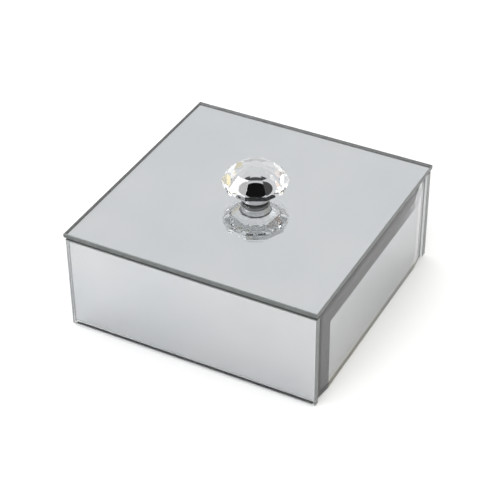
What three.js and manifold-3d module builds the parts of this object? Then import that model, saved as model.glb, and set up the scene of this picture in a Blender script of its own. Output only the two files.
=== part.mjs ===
// A square mirrored trinket box with a lift-off lid and a faceted crystal knob.
// Millimetres, +Z up, the front faces -Y. The origin is the centre of the footprint, on the table.

import * as THREE from 'three';
import { ConvexGeometry } from 'three/addons/geometries/ConvexGeometry.js';
import { mergeVertices } from 'three/addons/utils/BufferGeometryUtils.js';
import Module from 'manifold-3d';

const wasm = await Module();
wasm.setup();

// Driving sizes of the box
const LID_SIDE = 155; // the lid's glass, square in plan
const LID_TOP = 65; // height of the lid's top face above the table
const LID_OVERHANG = 0.5; // how far the lid's glass passes the body on every side
const BODY_SIDE = LID_SIDE - 2 * LID_OVERHANG;
const GLUE = 0.3; // clearance between neighbouring pieces, filled with glue on the real box
const THIN_GLUE = 0.2; // the same between the lid's layers

// Sheet thicknesses
const LID_GLASS = 3;
const PANEL_GLASS = 4;
const BOARD = 5;
const LINING = 1.2;
const FELT = 1;
const LID_BACKING = 1;
const LOCATOR = 4;
const LID_LINING = 1;

// Glass edges
const ARRIS = 0.4; // small ground chamfer along the edges of plain glass
const BEVEL_WIDTH = 12.7; // wide polished bevel of the side panels, on all edges but the bottom one
const BEVEL_EDGE = 2.4; // what is left of the side panel's thickness at its edge

// Insets
const FELT_INSET = 2; // the felt stops short of the panels' outer faces
const BACKING_INSET = 1; // the hardboard stops short of the lid glass's edge
const LOCATOR_PLAY = 1.3; // clearance between the locating board and the wall linings
const LID_LINING_INSET = 0.6; // the lid's lining stops short of the locating board's edge
const RIM_PLAY = 0.3; // gap under the lid at rest

// Knob, with heights above the lid's glass. It stands a little off the lid's middle.
const KNOB_X = 1.15;
const KNOB_Y = 0.6;
const KNOB_SIDES = 10;
const KNOB_TURN = -62; // degrees, the direction that a main facet faces
const CRYSTAL_BOTTOM = 4.9;
const UNDERSIDE_RADIUS = 9.6; // corners of the flat face under the stone
const GIRDLE_RADIUS = 19; // the stone's widest band
const GIRDLE_BOTTOM = 10.4;
const GIRDLE_TOP = 13.2;
const CROWN_RADIUS = 12;
const CROWN_TOP = 19.8;
const TABLE_RADIUS = 4; // the small flat face on top
const TABLE_TOP = 23;
const BASE_HEIGHT = 4.1;
const BASE_RADIUS = 8.4;
const BASE_CHAMFER = 0.25;
const BASE_BORE_DEPTH = 3.2;
const GASKET = 0.5;
const GASKET_GAP = 0.05;
const GASKET_RADIUS = 7.4;
const GASKET_BORE = 2.5;

// Screw through the lid
const SCREW_RADIUS = 1.95;
const SCREW_CLEARANCE = 0.35; // radial, in the base's bore and the washer
const SCREW_HEAD_RADIUS = 3.9;
const SCREW_HEAD_HEIGHT = 2.2;
const SCREW_HEAD_CROWN = 0.7; // the domed part of the head
const RECESS_LENGTH = 4;
const RECESS_WIDTH = 0.9;
const RECESS_DEPTH = 1.1;
const WASHER_RADIUS = 4.6;
const WASHER = 0.7;
const GLASS_HOLE = 3;
const BOARD_HOLE = 2.6;
const LINING_HOLE = 6;
const ROUND_STEPS = 48;
const WELD_DISTANCE = 1e-5;

// Heights and reaches that follow from the sizes above
const lidGlassBottom = LID_TOP - LID_GLASS;
const backingBottom = lidGlassBottom - THIN_GLUE - LID_BACKING;
const locatorTop = backingBottom - THIN_GLUE;
const locatorBottom = locatorTop - LOCATOR;
const lidLiningBottom = locatorBottom - THIN_GLUE - LID_LINING;
const rim = backingBottom - RIM_PLAY;
const panelBottom = FELT;
const baseBottom = FELT + GLUE;
const wallBottom = baseBottom + BOARD + GLUE;
const liningFloor = wallBottom;
const liningWallBottom = liningFloor + LINING + GLUE;
const bodyHalf = BODY_SIDE / 2;
const boardHalf = bodyHalf - PANEL_GLASS - GLUE;
const liningHalf = boardHalf - BOARD - GLUE;
const cavityHalf = liningHalf - LINING;
const sidePanelLength = BODY_SIDE - 2 * (PANEL_GLASS + GLUE);

// Materials
function material(color, roughness, metalness) {
  return new THREE.MeshStandardMaterial({ color, roughness, metalness });
}
const mirror = () => material('#cbccd0', 0.04, 1);
const mdf = () => material('#17171a', 0.7, 0);
const velvet = () => material('#3b3c44', 0.95, 0);

const box = new THREE.Group();

function add(name, geometry, look, x = 0, y = 0, z = 0) {
  const mesh = new THREE.Mesh(geometry, look);
  mesh.name = name;
  mesh.position.set(x, y, z);
  box.add(mesh);
  return mesh;
}

// Solid geometry helpers
function solidOf(geometry) {
  const bare = geometry.clone();
  bare.deleteAttribute('normal');
  bare.deleteAttribute('uv');
  const merged = mergeVertices(bare, WELD_DISTANCE);
  return new wasm.Manifold(
    new wasm.Mesh({
      numProp: 3,
      vertProperties: new Float32Array(merged.attributes.position.array),
      triVerts: new Uint32Array(merged.index.array),
    }),
  );
}

function geometryOf(solid) {
  const mesh = solid.getMesh();
  const geometry = new THREE.BufferGeometry();
  geometry.setAttribute('position', new THREE.BufferAttribute(new Float32Array(mesh.vertProperties), 3));
  geometry.setIndex(new THREE.BufferAttribute(new Uint32Array(mesh.triVerts), 1));
  geometry.computeVertexNormals();
  return geometry;
}

function rectangle(width, depth, holeRadius = 0) {
  const shape = new THREE.Shape();
  shape.moveTo(-width / 2, -depth / 2);
  shape.lineTo(width / 2, -depth / 2);
  shape.lineTo(width / 2, depth / 2);
  shape.lineTo(-width / 2, depth / 2);
  shape.closePath();
  if (holeRadius > 0) {
    const hole = new THREE.Path();
    hole.absarc(KNOB_X, KNOB_Y, holeRadius, 0, 2 * Math.PI, true);
    shape.holes.push(hole);
  }
  return shape;
}

// A flat sheet standing on z = 0, with an optional round hole under the knob.
function sheet(width, depth, thickness, holeRadius = 0) {
  return new THREE.ExtrudeGeometry(rectangle(width, depth, holeRadius), {
    depth: thickness,
    bevelEnabled: false,
    curveSegments: ROUND_STEPS / 2,
  });
}

// Plain glass standing on z = 0, with its edges ground to a small chamfer on both faces.
function groundGlass(width, depth, thickness, holeRadius = 0) {
  const geometry = new THREE.ExtrudeGeometry(rectangle(width, depth, holeRadius), {
    depth: thickness - 2 * ARRIS,
    bevelEnabled: true,
    bevelSize: ARRIS,
    bevelThickness: ARRIS,
    bevelOffset: -ARRIS,
    bevelSegments: 1,
    curveSegments: ROUND_STEPS / 2,
  });
  geometry.translate(0, 0, ARRIS);
  return geometry;
}

// Glass with a wide bevel along three edges of its upper face; its back face lies on z = 0.
// The edge at x = plainSide * height / 2 is left square.
function bevelledGlass(height, width, plainSide) {
  const corners = [];
  for (const sx of [-1, 1]) {
    const inset = sx === plainSide ? 0 : BEVEL_WIDTH;
    for (const sy of [-1, 1]) {
      const edgeX = (sx * height) / 2;
      const edgeY = (sy * width) / 2;
      corners.push(new THREE.Vector3(edgeX, edgeY, 0));
      corners.push(new THREE.Vector3(edgeX, edgeY, BEVEL_EDGE));
      corners.push(new THREE.Vector3(edgeX - sx * inset, edgeY - sy * BEVEL_WIDTH, PANEL_GLASS));
    }
  }
  return new ConvexGeometry(corners);
}

// The corners of a flat-sided ring of a faceted stone; the middle of one side lies along +X.
function facetRing(radius, height) {
  const points = [];
  for (let i = 0; i < KNOB_SIDES; i += 1) {
    const angle = (2 * Math.PI * (i + 0.5)) / KNOB_SIDES;
    points.push(new THREE.Vector3(radius * Math.cos(angle), radius * Math.sin(angle), height));
  }
  return points;
}

function washer(radius, bore, thickness) {
  return new THREE.LatheGeometry(
    [
      new THREE.Vector2(bore, 0),
      new THREE.Vector2(radius, 0),
      new THREE.Vector2(radius, thickness),
      new THREE.Vector2(bore, thickness),
      new THREE.Vector2(bore, 0),
    ],
    ROUND_STEPS,
  ).rotateX(Math.PI / 2);
}

// Box: felt, base and walls
const feltSide = BODY_SIDE - 2 * FELT_INSET;
add('base_felt', sheet(feltSide, feltSide, FELT), material('#2b2b2f', 1, 0));
add('base_board', sheet(2 * boardHalf, 2 * boardHalf, BOARD), mdf(), 0, 0, baseBottom);

const wallHeight = rim - wallBottom;
const sideWallLength = 2 * (boardHalf - BOARD - GLUE);
for (const [name, side] of [['front_board', -1], ['back_board', 1]]) {
  add(name, sheet(2 * boardHalf, BOARD, wallHeight), mdf(), 0, side * (boardHalf - BOARD / 2), wallBottom);
}
for (const [name, side] of [['left_board', -1], ['right_board', 1]]) {
  add(name, sheet(BOARD, sideWallLength, wallHeight), mdf(), side * (boardHalf - BOARD / 2), 0, wallBottom);
}

// Box: mirror panels. The front and back ones run the full width, the bevelled ones sit between them.
const panelHeight = rim - panelBottom;
const panelMiddle = (rim + panelBottom) / 2;
for (const [name, side] of [['front_mirror', -1], ['back_mirror', 1]]) {
  const panel = groundGlass(BODY_SIDE, panelHeight, PANEL_GLASS);
  panel.rotateX((-side * Math.PI) / 2);
  add(name, panel, mirror(), 0, side * (bodyHalf - PANEL_GLASS), panelMiddle);
}
for (const [name, side] of [['left_mirror', -1], ['right_mirror', 1]]) {
  const panel = bevelledGlass(panelHeight, sidePanelLength, side);
  panel.rotateY((side * Math.PI) / 2);
  add(name, panel, mirror(), side * (bodyHalf - PANEL_GLASS), 0, panelMiddle);
}

// Box: velvet-covered cards
const liningHeight = rim - liningWallBottom;
const sideLiningLength = 2 * (liningHalf - LINING - GLUE);
add('floor_lining', sheet(2 * liningHalf, 2 * liningHalf, LINING), velvet(), 0, 0, liningFloor);
for (const [name, side] of [['front_lining', -1], ['back_lining', 1]]) {
  const card = sheet(2 * liningHalf, LINING, liningHeight);
  add(name, card, velvet(), 0, side * (liningHalf - LINING / 2), liningWallBottom);
}
for (const [name, side] of [['left_lining', -1], ['right_lining', 1]]) {
  const card = sheet(LINING, sideLiningLength, liningHeight);
  add(name, card, velvet(), side * (liningHalf - LINING / 2), 0, liningWallBottom);
}

// Lid: glass, hardboard, locating board and lining
const backingSide = LID_SIDE - 2 * BACKING_INSET;
const locatorSide = 2 * (cavityHalf - LOCATOR_PLAY);
const lidLiningSide = locatorSide - 2 * LID_LINING_INSET;
add('lid_mirror', groundGlass(LID_SIDE, LID_SIDE, LID_GLASS, GLASS_HOLE), mirror(), 0, 0, lidGlassBottom);
add('lid_backing', sheet(backingSide, backingSide, LID_BACKING, BOARD_HOLE), mdf(), 0, 0, backingBottom);
add('lid_locator', sheet(locatorSide, locatorSide, LOCATOR, BOARD_HOLE), mdf(), 0, 0, locatorBottom);
add('lid_lining', sheet(lidLiningSide, lidLiningSide, LID_LINING, LINING_HOLE), velvet(), 0, 0, lidLiningBottom);

// Knob: crystal, base and gasket, standing on the lid's glass
const crystal = new ConvexGeometry([
  ...facetRing(UNDERSIDE_RADIUS, CRYSTAL_BOTTOM),
  ...facetRing(GIRDLE_RADIUS, GIRDLE_BOTTOM),
  ...facetRing(GIRDLE_RADIUS, GIRDLE_TOP),
  ...facetRing(CROWN_RADIUS, CROWN_TOP),
  ...facetRing(TABLE_RADIUS, TABLE_TOP),
]);
const stone = add('knob_crystal', crystal, material('#e9edf0', 0.02, 0), KNOB_X, KNOB_Y, LID_TOP);
stone.rotation.z = THREE.MathUtils.degToRad(KNOB_TURN);

const boreRadius = SCREW_RADIUS + SCREW_CLEARANCE;
const baseBottomZ = GASKET + 2 * GASKET_GAP;
const baseProfile = [
  [0, BASE_BORE_DEPTH],
  [boreRadius, BASE_BORE_DEPTH],
  [boreRadius, 0],
  [BASE_RADIUS - BASE_CHAMFER, 0],
  [BASE_RADIUS, BASE_CHAMFER],
  [BASE_RADIUS, BASE_HEIGHT - BASE_CHAMFER],
  [BASE_RADIUS - BASE_CHAMFER, BASE_HEIGHT],
  [0, BASE_HEIGHT],
].map(([r, z]) => new THREE.Vector2(r, z));
const base = new THREE.LatheGeometry(baseProfile, ROUND_STEPS).rotateX(Math.PI / 2);
add('knob_base', base, material('#d9dadc', 0.08, 1), KNOB_X, KNOB_Y, LID_TOP + baseBottomZ);

const gasketLook = material('#dfe6e6', 0.3, 0);
const gasket = washer(GASKET_RADIUS, GASKET_BORE, GASKET);
add('knob_gasket', gasket, gasketLook, KNOB_X, KNOB_Y, LID_TOP + GASKET_GAP);

// Screw and washer, from inside the lid
const steel = () => material('#b9bbbf', 0.3, 1);
const washerBottom = locatorBottom - THIN_GLUE - WASHER;
const headTop = washerBottom - THIN_GLUE;
const shankTop = LID_TOP + baseBottomZ + BASE_BORE_DEPTH - SCREW_CLEARANCE;
const screwLength = shankTop - headTop;
const screwProfile = [
  [0, -SCREW_HEAD_HEIGHT],
  [SCREW_HEAD_RADIUS - SCREW_HEAD_CROWN, -SCREW_HEAD_HEIGHT],
  [SCREW_HEAD_RADIUS, -SCREW_HEAD_HEIGHT + SCREW_HEAD_CROWN],
  [SCREW_HEAD_RADIUS, 0],
  [SCREW_RADIUS, 0],
  [SCREW_RADIUS, screwLength],
  [0, screwLength],
].map(([r, z]) => new THREE.Vector2(r, z));
let screw = solidOf(new THREE.LatheGeometry(screwProfile, ROUND_STEPS).rotateX(Math.PI / 2));
for (const [sx, sy] of [[RECESS_LENGTH, RECESS_WIDTH], [RECESS_WIDTH, RECESS_LENGTH]]) {
  const bar = new THREE.BoxGeometry(sx, sy, 2 * RECESS_DEPTH);
  bar.translate(0, 0, -SCREW_HEAD_HEIGHT);
  screw = screw.subtract(solidOf(bar));
}
add('knob_screw', geometryOf(screw), steel(), KNOB_X, KNOB_Y, headTop);
add('knob_washer', washer(WASHER_RADIUS, boreRadius, WASHER), steel(), KNOB_X, KNOB_Y, washerBottom);

export default box;
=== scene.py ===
"""A mirrored trinket box with a crystal knob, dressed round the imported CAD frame. Metres, +Z up."""

import math

import bmesh
import bpy
from mathutils import Matrix, Vector, noise


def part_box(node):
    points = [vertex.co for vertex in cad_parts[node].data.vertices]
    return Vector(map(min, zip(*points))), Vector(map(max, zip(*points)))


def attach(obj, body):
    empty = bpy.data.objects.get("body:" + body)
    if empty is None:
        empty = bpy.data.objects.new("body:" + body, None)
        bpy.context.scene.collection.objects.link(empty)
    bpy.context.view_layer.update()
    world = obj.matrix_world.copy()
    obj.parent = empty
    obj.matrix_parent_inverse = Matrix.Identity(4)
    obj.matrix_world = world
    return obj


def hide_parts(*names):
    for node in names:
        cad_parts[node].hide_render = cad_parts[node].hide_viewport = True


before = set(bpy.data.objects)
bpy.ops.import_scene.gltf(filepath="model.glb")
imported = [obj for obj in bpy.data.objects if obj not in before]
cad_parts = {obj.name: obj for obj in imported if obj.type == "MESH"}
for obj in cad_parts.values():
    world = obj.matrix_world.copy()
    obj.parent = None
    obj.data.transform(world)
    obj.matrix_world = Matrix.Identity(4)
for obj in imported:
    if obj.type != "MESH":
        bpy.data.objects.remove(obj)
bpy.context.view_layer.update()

MM = 0.001

# The camera looks at the box from the front right and above
CAMERA_AZIMUTH = math.radians(27.83)
CAMERA_ELEVATION = math.radians(36.95)
CAMERA_ROLL = math.radians(-0.43)
CAMERA_DISTANCE = 0.9118
CAMERA_TARGET = Vector((-0.00097, -0.00255, 0.02961))
CAMERA_LENS = 113.46  # focal length in millimetres
FRONT_RIGHT = Vector((math.sin(CAMERA_AZIMUTH), -math.cos(CAMERA_AZIMUTH), 0))  # level, towards the camera

SNAP = 1e-7  # points this close to a cutting plane count as on it

GLASS_IOR = 1.52
CRYSTAL_IOR = 1.56
PLASTIC_IOR = 1.45
LINING_ROLL = 1.6 * MM
LINING_CROWN = 0.25 * MM
LINING_UNEVEN = 0.12 * MM
LINING_HOLE_RADIUS = 6.0 * MM  # round the screw's washer in the lid's lining
FELT_ROLL = 0.6 * MM
FELT_UNEVEN = 0.06 * MM
FELT_SEED = 9
# Painted reflection: a black pad on the stone's underside stands in for the dark reflections of the chrome
# base seen through the stone
PAINTED_REFLECTION_RADIUS = 7.0 * MM
PAINTED_REFLECTION_SHIFT = 1.5 * MM  # towards the front right, off the knob's axis
PAINTED_REFLECTION_RAGGED = 0.25 * MM  # how far the pad's edge wanders in and out
PAINTED_REFLECTION_SOFT = 0.05 * MM  # half the width of that edge


# ---------------------------------------------------------------- nodes of a material


class Look:
    """A material with a Principled shader and short ways to add the usual texture nodes."""

    def __init__(self, name):
        self.material = bpy.data.materials.new(name)
        self.material.use_nodes = True
        self.nodes = self.material.node_tree.nodes
        self.links = self.material.node_tree.links
        self.shader = self.nodes["Principled BSDF"]
        self.position = None

    def set(self, **values):
        """Sets inputs of the shader; an underscore stands for a space in an input's name."""
        for name, value in values.items():
            self.shader.inputs[name.replace("_", " ")].default_value = value

    def coordinates(self):
        if self.position is None:
            self.position = self.nodes.new("ShaderNodeTexCoord").outputs["Object"]
        return self.position

    def noise(self, scale, detail=3.0, roughness=0.5, distortion=0.0):
        node = self.nodes.new("ShaderNodeTexNoise")
        node.inputs["Scale"].default_value = scale
        node.inputs["Detail"].default_value = detail
        node.inputs["Roughness"].default_value = roughness
        node.inputs["Distortion"].default_value = distortion
        self.links.new(self.coordinates(), node.inputs["Vector"])
        return node.outputs["Fac"]

    def stretch(self, value, low, high, to_low=0.0, to_high=1.0):
        """Maps the range low to high onto to_low to to_high, and clamps it there."""
        node = self.nodes.new("ShaderNodeMapRange")
        node.inputs["From Min"].default_value = low
        node.inputs["From Max"].default_value = high
        node.inputs["To Min"].default_value = to_low
        node.inputs["To Max"].default_value = to_high
        self.links.new(value, node.inputs["Value"])
        return node.outputs["Result"]

    def between(self, factor, first, second):
        """A mix of two colours, each a tuple or another node's output."""
        node = self.nodes.new("ShaderNodeMix")
        node.data_type = "RGBA"
        self.links.new(factor, node.inputs["Factor"])
        for socket, colour in (("A", first), ("B", second)):
            target = next(i for i in node.inputs if i.name == socket and i.type == "RGBA")
            if isinstance(colour, tuple):
                target.default_value = (*colour, 1.0)
            else:
                self.links.new(colour, target)
        return next(o for o in node.outputs if o.type == "RGBA")

    def maths(self, operation, first, second):
        node = self.nodes.new("ShaderNodeMath")
        node.operation = operation
        for socket, value in zip(node.inputs, (first, second)):
            if isinstance(value, (int, float)):
                socket.default_value = value
            else:
                self.links.new(value, socket)
        return node.outputs[0]

    def distance_from_axis(self, centre):
        """Distance from a vertical line through centre."""
        offset = self.nodes.new("ShaderNodeVectorMath")
        offset.operation = "SUBTRACT"
        offset.inputs[1].default_value = centre
        self.links.new(self.coordinates(), offset.inputs[0])
        flat = self.nodes.new("ShaderNodeVectorMath")
        flat.operation = "MULTIPLY"
        flat.inputs[1].default_value = (1, 1, 0)
        self.links.new(offset.outputs["Vector"], flat.inputs[0])
        length = self.nodes.new("ShaderNodeVectorMath")
        length.operation = "LENGTH"
        self.links.new(flat.outputs["Vector"], length.inputs[0])
        return length.outputs["Value"]

    def feed(self, name, value):
        self.links.new(value, self.shader.inputs[name])

    def bump(self, height, strength, distance):
        node = self.nodes.new("ShaderNodeBump")
        node.inputs["Strength"].default_value = strength
        node.inputs["Distance"].default_value = distance
        self.links.new(height, node.inputs["Height"])
        self.links.new(node.outputs["Normal"], self.shader.inputs["Normal"])


# ---------------------------------------------------------------- materials


def polished_glass():
    """Clear glass with a faint green body and the finest wiping haze."""
    look = Look("polished_glass")
    look.set(IOR=GLASS_IOR, Transmission_Weight=1.0)
    haze = look.noise(30, 5, 0.6)
    look.feed("Base Color", look.between(haze, (0.93, 0.955, 0.95), (0.965, 0.98, 0.975)))
    look.feed("Roughness", look.stretch(haze, 0.55, 0.8, 0.0, 0.03))
    return look.material


def hazed_bevel():
    """The inner part of a bevel, where fine polishing lines take away a little light."""
    look = Look("hazed_bevel")
    look.set(IOR=GLASS_IOR, Transmission_Weight=0.92, Roughness=0.02)
    lines = look.noise(700, 4, 0.6)
    look.feed("Base Color", look.between(lines, (0.70, 0.69, 0.71), (0.86, 0.85, 0.87)))
    return look.material


def ground_glass():
    """The satin edges of the glass, ground with a fine stone."""
    look = Look("ground_glass_edge")
    look.set(Roughness=0.22, IOR=GLASS_IOR, Transmission_Weight=0.88)
    look.feed("Base Color", look.between(look.noise(900, 4), (0.56, 0.62, 0.60), (0.74, 0.79, 0.77)))
    look.bump(look.noise(5200, 3), 0.2, 0.02 * MM)
    return look.material


def painted_shade_edge():
    """A flat-ground edge seen from outside, with painted shade: its dark grey green stands in for the shade
    from the dark glass behind it and from the lid above, darker in streaks where the stone bit deeper.
    """
    look = Look("painted_shade_ground_edge")
    look.set(Roughness=0.32, IOR=GLASS_IOR, Transmission_Weight=0.12)
    streaks = look.stretch(look.noise(260, 5, 0.7, 0.8), 0.3, 0.7)
    look.feed("Base Color", look.between(streaks, (0.055, 0.064, 0.061), (0.11, 0.121, 0.118)))
    look.bump(look.noise(5200, 3), 0.25, 0.02 * MM)
    return look.material


def dull_edge(name, dark, light):
    """Glass with another panel against it, or a pale strip of painted light: dull and opaque, seen through
    the glass.
    """
    look = Look(name)
    look.set(Roughness=0.6, Specular_IOR_Level=0.2)
    look.feed("Base Color", look.between(look.noise(700, 4), dark, light))
    look.bump(look.noise(2600, 3), 0.3, 0.03 * MM)
    return look.material


def foot_edge():
    """The edge a panel stands on and the corners beside it: only lightly ground, nearly clear."""
    look = Look("glass_foot_edge")
    look.set(Roughness=0.12, IOR=GLASS_IOR, Transmission_Weight=0.94)
    look.feed("Base Color", look.between(look.noise(900, 4), (0.84, 0.86, 0.855), (0.94, 0.95, 0.945)))
    look.bump(look.noise(5200, 3), 0.1, 0.01 * MM)
    return look.material


def seamed_edge():
    """The narrow seamed corner between a face and a ground edge: dark, with small bright chips."""
    look = Look("seamed_glass_corner")
    look.set(Roughness=0.3, IOR=GLASS_IOR, Transmission_Weight=0.35)
    chips = look.stretch(look.noise(1400, 3, 0.6), 0.60, 0.72)
    look.feed("Base Color", look.between(chips, (0.17, 0.185, 0.183), (0.44, 0.47, 0.46)))
    look.bump(look.noise(3200, 3), 0.3, 0.03 * MM)
    return look.material


def silver():
    """The silver coat behind the glass, with a faint cool and warm drift."""
    look = Look("mirror_silver")
    look.set(Metallic=1.0, Roughness=0.0)
    drift = look.stretch(look.noise(14, 2), 0.35, 0.65)
    look.feed("Base Color", look.between(drift, (0.505, 0.51, 0.53), (0.53, 0.53, 0.54)))
    return look.material


def crystal():
    """Clear cut crystal with a breath of haze where fingers have been."""
    look = Look("cut_crystal")
    look.set(IOR=CRYSTAL_IOR, Transmission_Weight=1.0)
    haze = look.noise(60, 4, 0.6)
    look.feed("Base Color", look.between(haze, (0.975, 0.98, 0.965), (0.99, 0.99, 0.985)))
    look.feed("Roughness", look.stretch(haze, 0.6, 0.85, 0.0, 0.02))
    return look.material


def crystal_underside(centre):
    """The stone's flat underside: silvered, with a round black pad of painted reflection for the dark
    reflections of the chrome base seen through the stone.
    """
    look = Look("crystal_underside")
    ragged = look.stretch(look.noise(420, 3), 0.0, 1.0, -PAINTED_REFLECTION_RAGGED, PAINTED_REFLECTION_RAGGED)
    reach = look.maths("ADD", look.distance_from_axis(centre), ragged)
    silvered = look.stretch(reach, PAINTED_REFLECTION_RADIUS - PAINTED_REFLECTION_SOFT, PAINTED_REFLECTION_RADIUS + PAINTED_REFLECTION_SOFT)
    # painted reflection: near black inside the pad
    painted_reflection = look.between(look.noise(1300, 4), (0.004, 0.004, 0.004), (0.012, 0.012, 0.013))
    look.feed("Base Color", look.between(silvered, painted_reflection, (0.515, 0.52, 0.54)))
    look.feed("Metallic", silvered)
    look.feed("Roughness", look.stretch(silvered, 0.0, 1.0, 0.5, 0.0))
    look.set(Specular_IOR_Level=0.0)
    return look.material


def chrome():
    """Satin chrome: light, with soft reflections and faint grain."""
    look = Look("satin_chrome")
    look.set(Metallic=1.0)
    haze = look.noise(260, 5, 0.6)
    look.feed("Base Color", look.between(haze, (0.66, 0.665, 0.675), (0.74, 0.742, 0.75)))
    look.feed("Roughness", look.stretch(haze, 0.3, 0.7, 0.26, 0.38))
    look.bump(look.noise(900, 3), 0.04, 0.02 * MM)
    return look.material


def plated_steel():
    """Zinc-plated steel with a fine, uneven grain."""
    look = Look("plated_steel")
    look.set(Metallic=1.0)
    grain = look.noise(1800, 4, 0.6)
    look.feed("Base Color", look.between(grain, (0.50, 0.51, 0.53), (0.66, 0.67, 0.69)))
    look.feed("Roughness", look.stretch(grain, 0.3, 0.7, 0.25, 0.42))
    look.bump(look.noise(3500, 3), 0.15, 0.02 * MM)
    return look.material


def black_board():
    """Fibreboard painted black: a dry coat over raised fibres, worn grey along its roughest spots."""
    look = Look("painted_fibreboard")
    fibres = look.noise(2600, 6, 0.65)
    worn = look.stretch(look.noise(420, 6, 0.7), 0.62, 0.78)
    paint = look.between(fibres, (0.012, 0.012, 0.014), (0.035, 0.034, 0.036))
    look.feed("Base Color", look.between(worn, paint, (0.09, 0.082, 0.075)))
    look.feed("Roughness", look.stretch(fibres, 0.3, 0.7, 0.55, 0.85))
    look.bump(fibres, 0.5, 0.12 * MM)
    return look.material


def velvet():
    """Short-pile velvet: a fine pile, a bright sheen at grazing angles, and brushed patches whose lighter and
    darker colour is painted sheen for the pile catching the light.
    """
    look = Look("charcoal_velvet")
    # painted sheen: brushed patches mix a lighter and a darker velvet, and also raise the pile's bump
    brushed_pile_and_sheen = look.stretch(look.noise(38, 3, 0.55, 0.6), 0.35, 0.65)
    pile = look.noise(5200, 2, 0.6)
    dark = look.between(pile, (0.020, 0.021, 0.026), (0.055, 0.057, 0.066))
    light = look.between(pile, (0.045, 0.047, 0.056), (0.105, 0.108, 0.122))
    look.feed("Base Color", look.between(brushed_pile_and_sheen, dark, light))
    look.set(Roughness=0.95, Specular_IOR_Level=0.15)
    look.set(Sheen_Weight=0.8, Sheen_Roughness=0.35, Sheen_Tint=(0.75, 0.78, 0.9, 1))
    look.bump(look.maths("ADD", pile, look.maths("MULTIPLY", brushed_pile_and_sheen, 0.6)), 0.8, 0.35 * MM)
    return look.material


def felt():
    """Pressed black felt with greyer fibres."""
    look = Look("pressed_felt")
    fibres = look.noise(3200, 6, 0.75, 1.2)
    look.feed("Base Color", look.between(fibres, (0.012, 0.012, 0.014), (0.06, 0.06, 0.066)))
    look.set(Roughness=1.0, Sheen_Weight=0.3, Sheen_Roughness=0.6, Specular_IOR_Level=0.1)
    look.bump(fibres, 0.9, 0.3 * MM)
    return look.material


def milky_plastic():
    """Soft plastic that lets some light through, cloudier in patches."""
    look = Look("milky_plastic")
    look.set(IOR=PLASTIC_IOR, Transmission_Weight=0.35)
    cloud = look.noise(1200, 3)
    look.feed("Base Color", look.between(cloud, (0.91, 0.93, 0.93), (0.95, 0.97, 0.97)))
    look.feed("Roughness", look.stretch(cloud, 0.3, 0.7, 0.26, 0.34))
    look.bump(cloud, 0.1, 0.05 * MM)
    return look.material


def floor_paper():
    """Plain white studio paper."""
    look = Look("white_floor")
    tone = look.noise(9, 3)
    look.feed("Base Color", look.between(tone, (0.92, 0.92, 0.925), (0.94, 0.94, 0.94)))
    look.set(Roughness=0.9, Specular_IOR_Level=0.1)
    look.bump(look.noise(420, 4), 0.05, 0.05 * MM)
    return look.material


POLISHED = polished_glass()
HAZED = hazed_bevel()
GROUND = ground_glass()
SEAMED = seamed_edge()
SILVER = silver()
PAINTED_SHADE_EDGE = painted_shade_edge()
# Painted light: a pale strip stands in for the light coming in through the back panel's ends
PAINTED_LIGHT_END = dull_edge("pale_painted_light", (0.70, 0.71, 0.71), (0.84, 0.85, 0.85))
FOOT_EDGE = foot_edge()
BUTTED = dull_edge("butted_glass_edge", (0.04, 0.045, 0.045), (0.09, 0.1, 0.1))
CRYSTAL = crystal()
CHROME = chrome()
STEEL = plated_steel()
BOARD = black_board()
VELVET = velvet()
FELT = felt()
PLASTIC = milky_plastic()


def dress(name, material):
    """Gives a CAD node that keeps its shape a new material."""
    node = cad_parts[name]
    node.data.materials.clear()
    node.data.materials.append(material)


# ---------------------------------------------------------------- mirror glass

CLEAR_RIM = 4.4 * MM  # the outer strip of a bevel that is polished clear
PAINTED_LIGHT_STRIP = 1.9 * MM  # painted light: a pale strip down the ends of the back panel, bare of silver, for the light that comes in through them

# Cosines of the angle between a face and a direction
ALONG = 0.9  # a face looks that way
BEVEL_ALONG = 0.9995  # a face that looks that way but falls short of this slopes as a bevel does
CHAMFER_ALONG = 0.3  # a chamfer looks at least this much that way


def dressed_copy(node_name, suffix, materials, choose, shape=None):
    """Replaces a CAD node by a copy of it with a material chosen face by face."""
    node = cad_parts[node_name]
    bm = bmesh.new()
    bm.from_mesh(node.data)
    if shape is not None:
        shape(bm)
    for face in bm.faces:
        face.material_index = materials.index(choose(face))
        face.smooth = False
    mesh = bpy.data.meshes.new(node_name + suffix)
    bm.to_mesh(mesh)
    bm.free()
    for material in materials:
        mesh.materials.append(material)
    piece = bpy.data.objects.new(node_name + suffix, mesh)
    bpy.context.scene.collection.objects.link(piece)
    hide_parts(node_name)
    return piece


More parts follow.
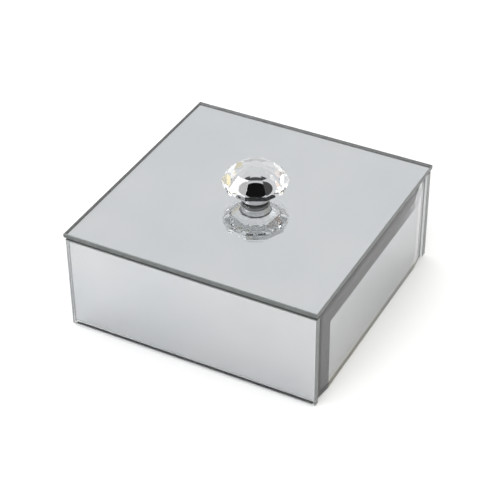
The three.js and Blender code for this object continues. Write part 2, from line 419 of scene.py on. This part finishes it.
def mirror_piece(node_name, outward):
    """Glass silvered behind, polished in front, with ground edges, chamfers and partly hazed bevels."""
    outward = Vector(outward)
    low, high = (Vector(corner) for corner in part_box(node_name))
    across = [axis for axis in range(3) if abs(outward[axis]) < 0.5]

    def rim_distance(point):
        return min(min(point[axis] - low[axis], high[axis] - point[axis]) for axis in across)

    def is_backed(face):
        return face.normal.dot(outward) < -ALONG

    def is_bevel(face):
        return ALONG < face.normal.dot(outward) < BEVEL_ALONG

    def cut(bm, faces, axis, sign, inset):
        """Cuts faces along a line a little way in from one edge of the panel."""
        place = Vector((0, 0, 0))
        place[axis] = (high[axis] if sign > 0 else low[axis]) - sign * inset
        normal = Vector((0, 0, 0))
        normal[axis] = sign
        parts = set(faces)
        for face in faces:
            parts.update(face.edges)
            parts.update(face.verts)
        bmesh.ops.bisect_plane(bm, geom=list(parts), plane_co=place, plane_no=normal, dist=SNAP)

    def split_faces(bm):
        """Parts the bevels into two strips, and the pale strips of painted light from the back panel's
        silver.
        """
        for axis in across:
            for sign in (-1, 1):
                cut(bm, [f for f in bm.faces if is_bevel(f)], axis, sign, CLEAR_RIM)
        if outward.y > 0:
            for sign in (-1, 1):
                cut(bm, [f for f in bm.faces if is_backed(f)], 0, sign, PAINTED_LIGHT_STRIP)

    def chamfer(face):
        """The look of a small chamfer: nearly clear at the panels' feet and at the front one's left end."""
        if outward.z:
            return SEAMED
        is_low = face.normal.z < -CHAMFER_ALONG
        is_front_left = outward.y < 0 and face.normal.x < -CHAMFER_ALONG
        return FOOT_EDGE if is_low or is_front_left else SEAMED

    def choose(face):
        normal = face.normal
        facing = normal.dot(outward)
        rim = rim_distance(face.calc_center_median())
        if is_backed(face):
            # painted light: a pale strip at the back panel's ends in place of silver
            return PAINTED_LIGHT_END if outward.y > 0 and rim < PAINTED_LIGHT_STRIP else SILVER
        if is_bevel(face):
            return HAZED if rim > CLEAR_RIM else POLISHED
        if facing > ALONG:
            return POLISHED
        if abs(facing) > CHAMFER_ALONG:
            return chamfer(face)
        # Painted shade: the lid's edges and the panels' top edges under the lid take the dark ground edge
        if outward.z or normal.z > ALONG:
            return PAINTED_SHADE_EDGE
        if normal.z < -ALONG:
            return FOOT_EDGE
        return GROUND if abs(normal.x) > ALONG else BUTTED

    materials = [POLISHED, HAZED, GROUND, SEAMED, SILVER, PAINTED_SHADE_EDGE, PAINTED_LIGHT_END, FOOT_EDGE, BUTTED]
    return dressed_copy(node_name, "_silvered", materials, choose, split_faces)


for panel, outward in (
    ("front_mirror", (0, -1, 0)),
    ("back_mirror", (0, 1, 0)),
    ("left_mirror", (-1, 0, 0)),
    ("right_mirror", (1, 0, 0)),
):
    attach(mirror_piece(panel, outward), "box")
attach(mirror_piece("lid_mirror", (0, 0, 1)), "lid")

# ---------------------------------------------------------------- crystal

FLAT_BELOW = 0.99  # cosine: only the stone's flat underside looks this straight down

stone_low, stone_high = (Vector(corner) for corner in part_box("knob_crystal"))
UNDERSIDE = crystal_underside((stone_low + stone_high) / 2 + FRONT_RIGHT * PAINTED_REFLECTION_SHIFT)


def crystal_face(face):
    return UNDERSIDE if face.normal.z < -FLAT_BELOW else CRYSTAL


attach(dressed_copy("knob_crystal", "_cut", [CRYSTAL, UNDERSIDE], crystal_face), "lid")

# ---------------------------------------------------------------- velvet and felt

ROLL_STEPS = 5  # rows of faces across a rolled edge
CARD_STEP = 3 * MM  # size of the faces between the edges
RIM_SHARE = 0.25  # the part of the thickness that an edge keeps at its very rim
WAVER_LENGTH = 16 * MM  # from one slight hollow in the cloth to the next


def steps(half, roll):
    """Positions from -half to half, close together inside the rolled edges and further apart between them."""
    edge = [roll * (1 - math.cos(i / ROLL_STEPS * math.pi / 2)) for i in range(ROLL_STEPS + 1)]
    inner = half - roll
    count = max(2, round(2 * inner / CARD_STEP))
    middle = [-inner + 2 * inner * i / count for i in range(1, count)]
    return [-half + e for e in edge] + middle + [half - e for e in reversed(edge)]


def soft_card(node_name, facing, roll, crown, uneven, seed, hole=None):
    """A card covered in soft cloth: flat behind, rolled over at its edges and a little uneven in front.

    facing points from the card's glued back to its soft front. roll is the radius of the rolled edges. The
    front bulges by crown in its middle and wavers by uneven. hole is (centre, radius) of a round hole through
    the card, or None.
    """
    low, high = (Vector(corner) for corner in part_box(node_name))
    facing = Vector(facing)
    depth = max(range(3), key=lambda axis: abs(facing[axis]))
    first, second = [axis for axis in range(3) if axis != depth]
    half = (high - low) / 2
    middle = (high + low) / 2
    thickness = 2 * half[depth]
    across = steps(half[first], roll)
    along = steps(half[second], roll)

    def height(u, v):
        """Height of the front above the back."""
        inset = min(half[first] - abs(u), half[second] - abs(v)) / roll
        rolled = math.sqrt(max(0.0, 1 - (1 - min(inset, 1)) ** 2))
        pillow = (1 - (u / half[first]) ** 2) * (1 - (v / half[second]) ** 2)
        waver = 0.5 + 0.5 * noise.noise(Vector((u / WAVER_LENGTH, v / WAVER_LENGTH, seed)))
        full = thickness - crown * (1 - pillow) - uneven * waver
        return full * (RIM_SHARE + (1 - RIM_SHARE) * rolled)

    def vertex(bm, u, v, level):
        place = middle.copy()
        place[first] += u
        place[second] += v
        place[depth] -= facing[depth] * (half[depth] - level)
        return bm.verts.new(place)

    bm = bmesh.new()
    front = [[vertex(bm, u, v, height(u, v)) for v in along] for u in across]
    back = [[vertex(bm, u, v, 0.0) for v in along] for u in across]
    columns, rows = len(across), len(along)
    for i in range(columns - 1):
        for j in range(rows - 1):
            for grid in (front, back):
                bm.faces.new((grid[i][j], grid[i + 1][j], grid[i + 1][j + 1], grid[i][j + 1]))
    rim = [(i, 0) for i in range(columns - 1)]
    rim += [(columns - 1, j) for j in range(rows - 1)]
    rim += [(i, rows - 1) for i in range(columns - 1, 0, -1)]
    rim += [(0, j) for j in range(rows - 1, 0, -1)]
    for (i, j), (k, m) in zip(rim, rim[1:] + rim[:1]):
        bm.faces.new((front[i][j], front[k][m], back[k][m], back[i][j]))
    bmesh.ops.recalc_face_normals(bm, faces=bm.faces)
    if hole is not None:
        cut_round_hole(bm, *hole)
    for face in bm.faces:
        face.smooth = True
    mesh = bpy.data.meshes.new(node_name + "_cloth")
    bm.to_mesh(mesh)
    bm.free()
    piece = bpy.data.objects.new(node_name + "_cloth", mesh)
    bpy.context.scene.collection.objects.link(piece)
    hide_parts(node_name)
    return piece


def cut_round_hole(bm, centre, radius):
    """Opens a round hole through a card that lies level, and closes the hole's wall."""
    centre = Vector(centre).to_2d()

    def reach(vertex):
        return (vertex.co.to_2d() - centre).length

    inside = [f for f in bm.faces if any(reach(v) < radius for v in f.verts)]
    bmesh.ops.delete(bm, geom=inside, context="FACES")
    loops = [e for e in bm.edges if e.is_boundary]
    for vertex in {v for e in loops for v in e.verts}:
        offset = (vertex.co.to_2d() - centre).normalized() * radius
        vertex.co.x, vertex.co.y = centre.x + offset.x, centre.y + offset.y
    bmesh.ops.bridge_loops(bm, edges=loops)


def lining(wall, body, facing, seed, hole=None):
    """A velvet-covered card inside the box or under its lid."""
    piece = soft_card(wall + "_lining", facing, LINING_ROLL, LINING_CROWN, LINING_UNEVEN, seed, hole)
    piece.data.materials.append(VELVET)
    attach(piece, body)


INNER_WALLS = (
    ("floor", (0, 0, 1)),
    ("front", (0, 1, 0)),
    ("back", (0, -1, 0)),
    ("left", (1, 0, 0)),
    ("right", (-1, 0, 0)),
)
for seed, (wall, facing) in enumerate(INNER_WALLS):
    lining(wall, "box", facing, seed)
washer_low, washer_high = (Vector(corner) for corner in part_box("knob_washer"))
washer_hole = ((washer_low + washer_high) / 2, LINING_HOLE_RADIUS)
lining("lid", "lid", (0, 0, -1), len(INNER_WALLS), washer_hole)

felt_piece = soft_card("base_felt", (0, 0, -1), FELT_ROLL, 0.0, FELT_UNEVEN, FELT_SEED)
felt_piece.data.materials.append(FELT)
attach(felt_piece, "box")

# ---------------------------------------------------------------- plain CAD pieces

BOARDS = (
    "base_board",
    "front_board",
    "back_board",
    "left_board",
    "right_board",
    "lid_backing",
    "lid_locator",
)
for board in BOARDS:
    dress(board, BOARD)
dress("knob_base", CHROME)
dress("knob_gasket", PLASTIC)
dress("knob_screw", STEEL)
dress("knob_washer", STEEL)

# ---------------------------------------------------------------- floor, lights and camera

FLOOR_HALF = 3.0
FLOOR_DROP = 0.2 * MM  # the floor lies just under the felt
LIGHT_DISTANCE = 2.3
ROOM = 1.2  # brightness of the room all round
PALE = (0.99, 0.995, 1.0)
DARK = (0.02, 0.02, 0.02)
STRAW = (0.84, 0.76, 0.50)
ROSE = (0.72, 0.58, 0.50)


def floor():
    """A wide white floor."""
    mesh = bpy.data.meshes.new("floor")
    corners = [(x * FLOOR_HALF, y * FLOOR_HALF, 0) for x, y in ((-1, -1), (1, -1), (1, 1), (-1, 1))]
    mesh.from_pydata(corners, [], [(0, 1, 2, 3)])
    mesh.materials.append(floor_paper())
    piece = bpy.data.objects.new("floor", mesh)
    piece.location = (0, 0, -FLOOR_DROP)
    bpy.context.scene.collection.objects.link(piece)
    return piece


floor()


def softbox(name, place, aim, width, height, watts):
    """A rectangular light at place that shines towards aim."""
    data = bpy.data.lights.new(name, "AREA")
    data.shape = "RECTANGLE"
    data.size = width
    data.size_y = height
    data.energy = watts
    light = bpy.data.objects.new(name, data)
    light.location = place
    light.rotation_euler = (Vector(aim) - Vector(place)).to_track_quat("-Z", "Y").to_euler()
    bpy.context.scene.collection.objects.link(light)
    return light


def toward(azimuth, elevation, distance=1.0):
    """A point at a direction from the box, in degrees from +X and above the horizon."""
    a, e = math.radians(azimuth), math.radians(elevation)
    return Vector((math.cos(e) * math.cos(a), math.cos(e) * math.sin(a), math.sin(e))) * distance


softbox("key_left", toward(-136, 41, LIGHT_DISTANCE), (0, 0, 0.05), 0.45, 0.45, 5.4)
# The fills light the floor and stay out of the mirrors
for fill in (
    softbox("front_fill", (0.25, -1.9, 1.1), (0, 0, 0), 2.2, 1.0, 27),
    softbox("top_fill", toward(-90, 80, LIGHT_DISTANCE), (0, 0, 0), 1.2, 1.2, 2.8),
):
    fill.visible_glossy = False
    fill.visible_transmission = False


def studio_world(patches):
    """A pale room with soft patches.

    A patch is a direction, a half angle and a soft edge in degrees, and a colour.
    """
    world = bpy.data.worlds.new("studio")
    world.use_nodes = True
    bpy.context.scene.world = world
    nodes, links = world.node_tree.nodes, world.node_tree.links
    background = nodes["Background"]
    background.inputs["Strength"].default_value = ROOM
    direction = nodes.new("ShaderNodeTexCoord").outputs["Generated"]
    pale = nodes.new("ShaderNodeRGB").outputs["Color"]
    pale.default_value = (*PALE, 1)
    seen = pale
    for middle, half_angle, softness, colour in patches:
        dot = nodes.new("ShaderNodeVectorMath")
        dot.operation = "DOT_PRODUCT"
        dot.inputs[1].default_value = middle
        links.new(direction, dot.inputs[0])
        ramp = nodes.new("ShaderNodeMapRange")
        ramp.interpolation_type = "SMOOTHSTEP"
        ramp.inputs["From Min"].default_value = math.cos(math.radians(half_angle + softness))
        ramp.inputs["From Max"].default_value = math.cos(math.radians(half_angle))
        links.new(dot.outputs["Value"], ramp.inputs["Value"])
        mix = nodes.new("ShaderNodeMix")
        mix.data_type = "RGBA"
        links.new(ramp.outputs["Result"], mix.inputs["Factor"])
        outside, inside = [i for i in mix.inputs if i.type == "RGBA"]
        links.new(seen, outside)
        inside.default_value = (*colour, 1)
        seen = next(o for o in mix.outputs if o.type == "RGBA")
    links.new(seen, background.inputs["Color"])


# The dark patch draws the facets of the knob, and the warm ones tint those at its left and right
studio_world(
    [
        (toward(-62, 62), 11, 5, DARK),
        (toward(56, 46), 8, 8, STRAW),
        (toward(30, 18), 10, 10, STRAW),
        (toward(-179, 13), 6, 6, ROSE),
    ]
)


def photograph_camera():
    """The camera, a long lens at the azimuth (0 in front, 90 at the right) and elevation set above."""
    data = bpy.data.cameras.new("camera")
    data.lens = CAMERA_LENS
    data.sensor_width = 36.0
    data.clip_start = 0.05
    data.clip_end = 20.0
    camera = bpy.data.objects.new("camera", data)
    back = FRONT_RIGHT * math.cos(CAMERA_ELEVATION)
    back.z = math.sin(CAMERA_ELEVATION)
    camera.location = CAMERA_TARGET + back * CAMERA_DISTANCE
    aim = (-back).to_track_quat("-Z", "Y").to_matrix()
    camera.rotation_euler = (aim @ Matrix.Rotation(CAMERA_ROLL, 3, "Z")).to_euler()
    bpy.context.scene.collection.objects.link(camera)
    bpy.context.scene.camera = camera


photograph_camera()
scene = bpy.context.scene
scene.view_settings.view_transform = "Standard"
scene.cycles.max_bounces = 20
scene.cycles.glossy_bounces = 16
scene.cycles.transmission_bounces = 20
